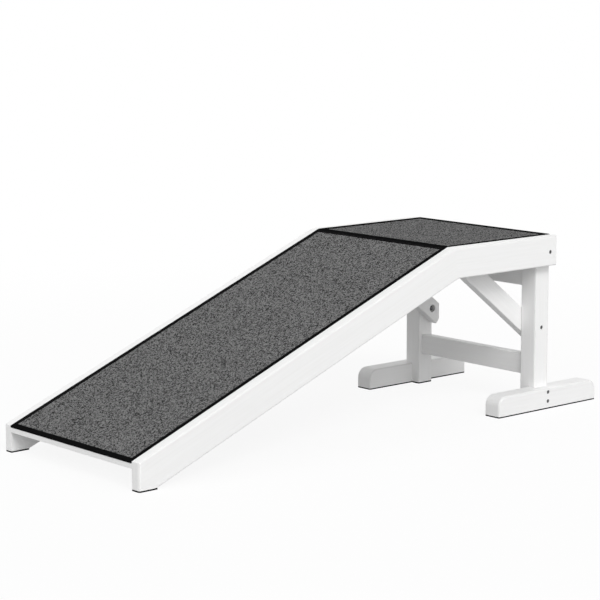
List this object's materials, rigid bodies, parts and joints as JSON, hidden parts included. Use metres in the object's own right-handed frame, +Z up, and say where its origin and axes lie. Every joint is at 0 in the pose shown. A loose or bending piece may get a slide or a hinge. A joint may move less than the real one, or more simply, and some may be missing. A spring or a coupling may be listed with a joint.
{
  "type": "pet ramp",
  "caption": "Freestanding wooden pet ramp: a carpeted slope that rises to a level carpeted platform, on a braced stand with T-shaped feet.",
  "frame": {"origin": "middle of the overall length and width, on the floor", "axes": "+X along the ramp, from its low end towards the platform end; +Z up; +Y to the left of an animal that walks up"},
  "size_m": [1.1254, 0.4, 0.339],
  "materials": {
    "white_paint": "white satin paint on pine",
    "carpet": "grey heather carpet",
    "binding": "black woven tape",
    "pad": "black foam rubber",
    "steel": "zinc-plated steel",
    "dowel_beech": "bare beech"
  },
  "bodies": {
    "root": {"left_rail": "white_paint", "right_rail": "white_paint", "ramp_deck": "white_paint", "platform_deck": "white_paint", "ramp_carpet": "carpet", "ramp_carpet_binding": "binding", "platform_carpet": "carpet", "platform_carpet_binding": "binding", "ramp_batten_1": "white_paint", "ramp_batten_2": "white_paint", "ramp_batten_3": "white_paint", "ramp_batten_4": "white_paint", "knee_crossbar": "white_paint", "left_leg": "white_paint", "right_leg": "white_paint", "left_foot_beam": "white_paint", "right_foot_beam": "white_paint", "left_brace": "white_paint", "right_brace": "white_paint", "stretcher": "white_paint", "apron": "white_paint", "left_rail_pad": "pad", "right_rail_pad": "pad", "left_foot_pad": "pad", "right_foot_pad": "pad", "left_leg_pad": "pad", "right_leg_pad": "pad", "rail_bolts": "steel", "rail_bolt_inserts": "steel", "brace_bolts": "steel", "brace_washers": "steel", "brace_nuts": "steel", "foot_screws": "steel", "ramp_deck_screws": "steel", "platform_deck_screws": "steel", "batten_dowels": "dowel_beech", "crossbar_dowels": "dowel_beech", "stretcher_dowels": "dowel_beech", "apron_dowels": "dowel_beech"}
  },
  "joints": []
}
